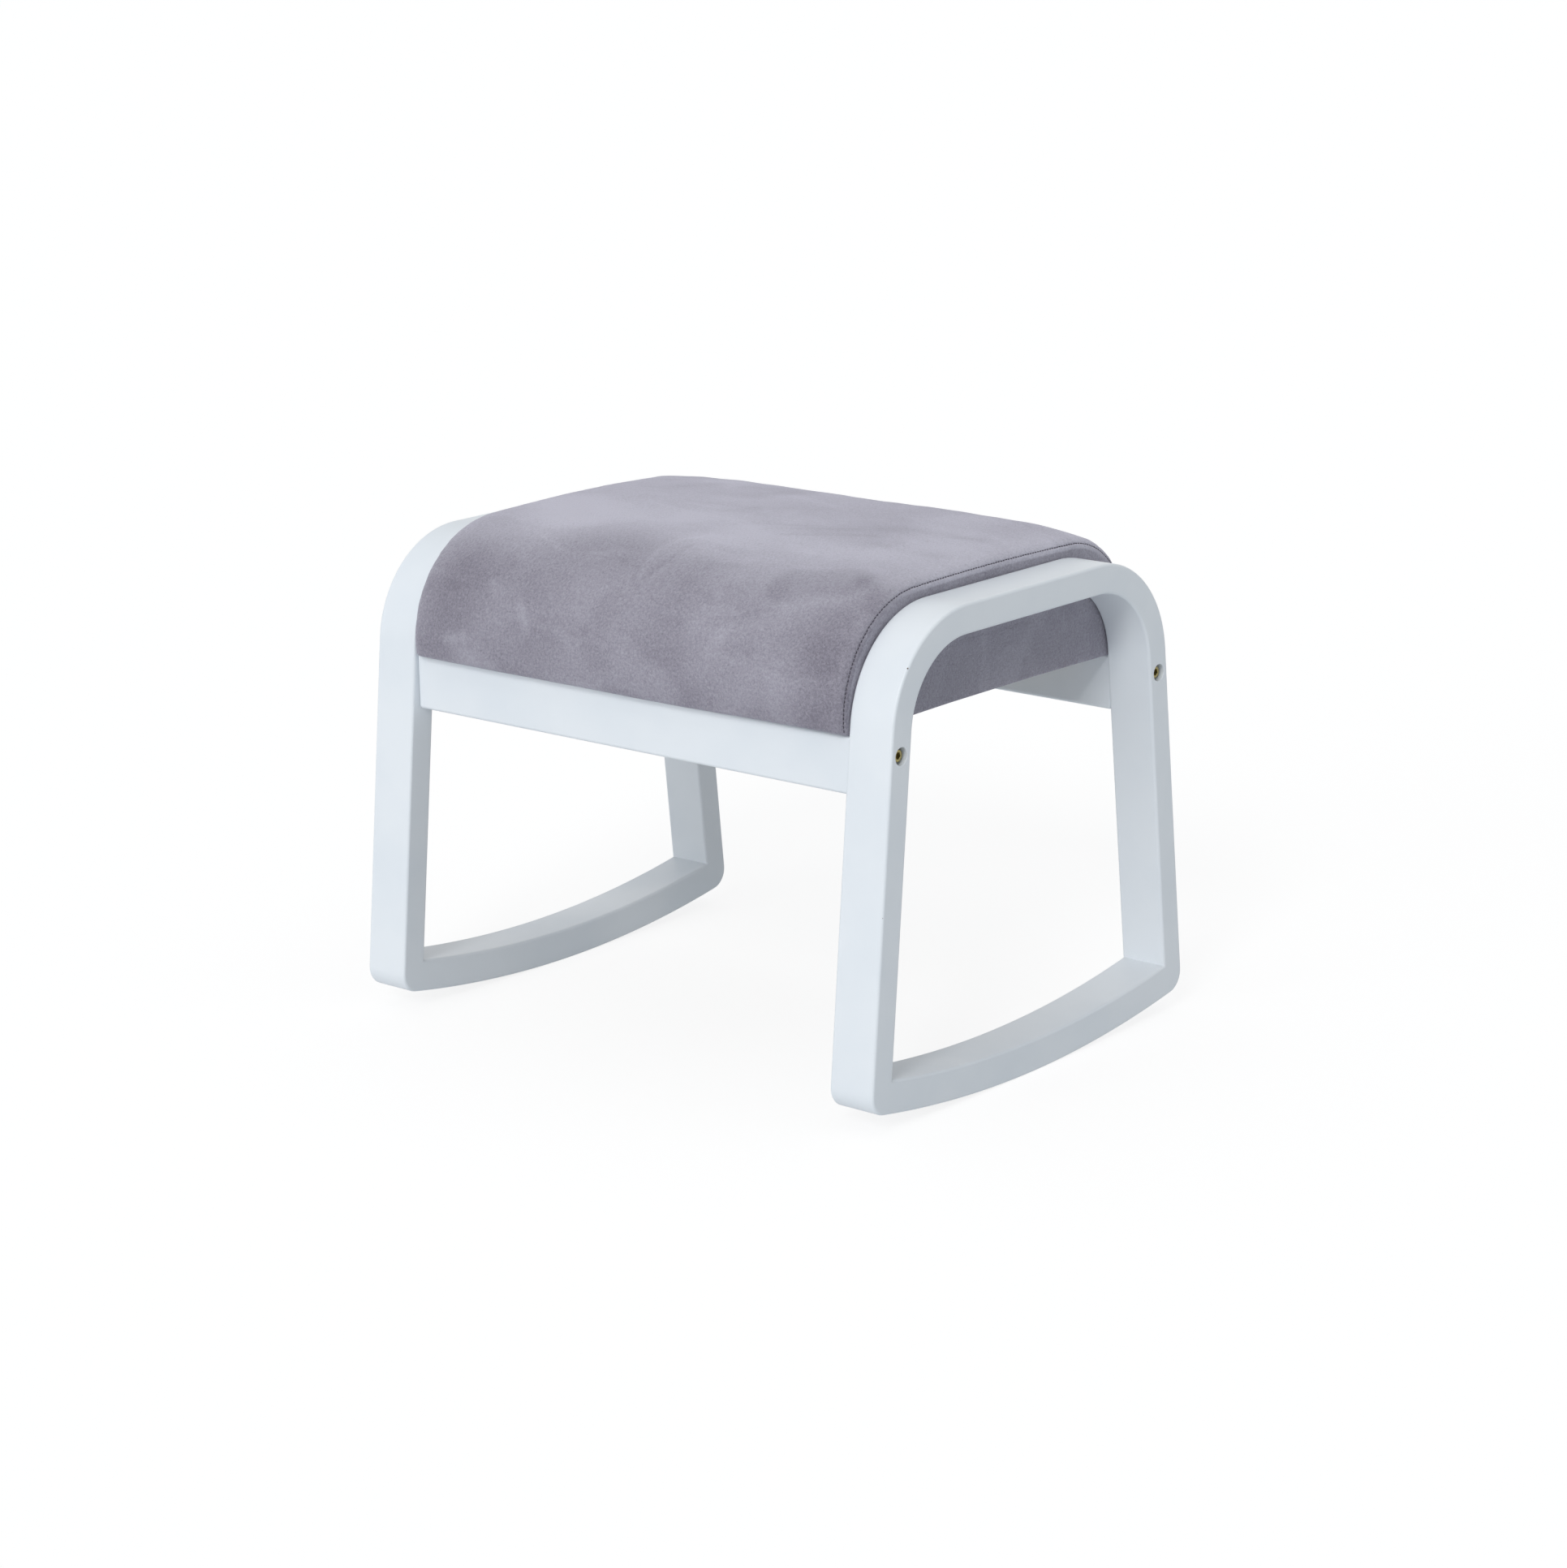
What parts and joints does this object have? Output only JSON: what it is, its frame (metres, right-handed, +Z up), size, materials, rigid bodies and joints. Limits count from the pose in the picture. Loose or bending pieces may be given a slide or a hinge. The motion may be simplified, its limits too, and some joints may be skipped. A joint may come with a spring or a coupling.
{
  "type": "rocking footstool",
  "caption": "Rocking footstool with two bent-wood side frames on curved rockers, cross rails bolted between them and an arched upholstered pad.",
  "frame": {"origin": "on the floor, under the middle of the stool", "axes": "+X across the width towards the right side frame, +Y from front to rear (the stool is the same from both), +Z up"},
  "size_m": [0.54, 0.4092, 0.4171],
  "materials": {
    "white_lacquer": "satin",
    "beech_wood": "matte",
    "pine_wood": "matte",
    "birch_plywood": "matte",
    "yellow_zinc": "satin",
    "bright_zinc": "satin",
    "suede_microfibre": "matte",
    "seat_foam": "matte",
    "spunbond_cloth": "matte"
  },
  "bodies": {
    "root": {"left_hoop": "white_lacquer", "right_hoop": "white_lacquer", "left_rocker": "white_lacquer", "right_rocker": "white_lacquer", "front_rail": "white_lacquer", "rear_rail": "white_lacquer", "rocker_tenons": "beech_wood", "rail_tenons": "beech_wood", "joint_bolts": "yellow_zinc", "bolt_washers": "yellow_zinc", "barrel_nuts": "bright_zinc", "cover_top_panel": "suede_microfibre", "left_cover_side": "suede_microfibre", "right_cover_side": "suede_microfibre", "foam_block": "seat_foam", "seat_board": "birch_plywood", "dust_cover": "spunbond_cloth", "seat_cleats": "pine_wood", "pad_screws": "bright_zinc"}
  },
  "joints": []
}
